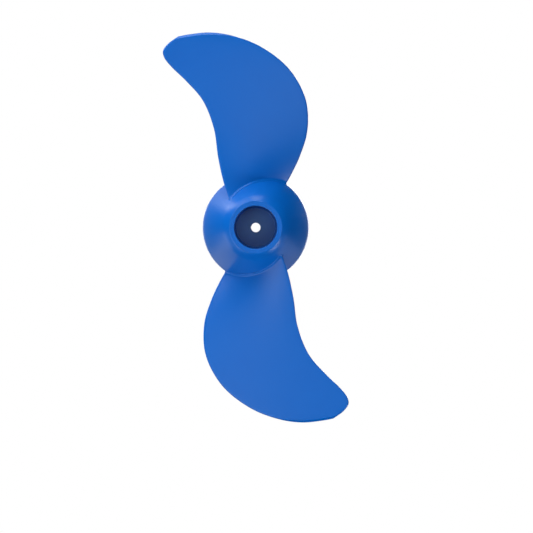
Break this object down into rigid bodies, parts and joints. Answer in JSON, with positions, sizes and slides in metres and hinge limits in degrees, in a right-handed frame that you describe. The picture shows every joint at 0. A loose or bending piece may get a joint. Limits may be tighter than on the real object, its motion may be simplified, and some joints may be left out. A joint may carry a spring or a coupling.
{
  "type": "outboard motor propeller",
  "caption": "Right-handed water propeller with swept blades, a tapered cored hub, an aft nut recess and a pin-driven shaft bush.",
  "frame": {"origin": "on the shaft axis, in the plane of the hub's front rim", "axes": "+Y forward along the shaft, towards the motor; -Y aft; +Z along the upper blade; +X to the right seen from aft"},
  "size_m": [0.1352, 0.05, 0.2838],
  "materials": {
    "blue_plastic": "satin, strongly coloured blue throughout",
    "bush_steel": "turned stainless steel"
  },
  "bodies": {
    "root": {"hub_shell": "blue_plastic", "hub_core": "blue_plastic", "blade_upper": "blue_plastic", "blade_lower": "blue_plastic", "shaft_bush": "bush_steel"}
  },
  "joints": []
}
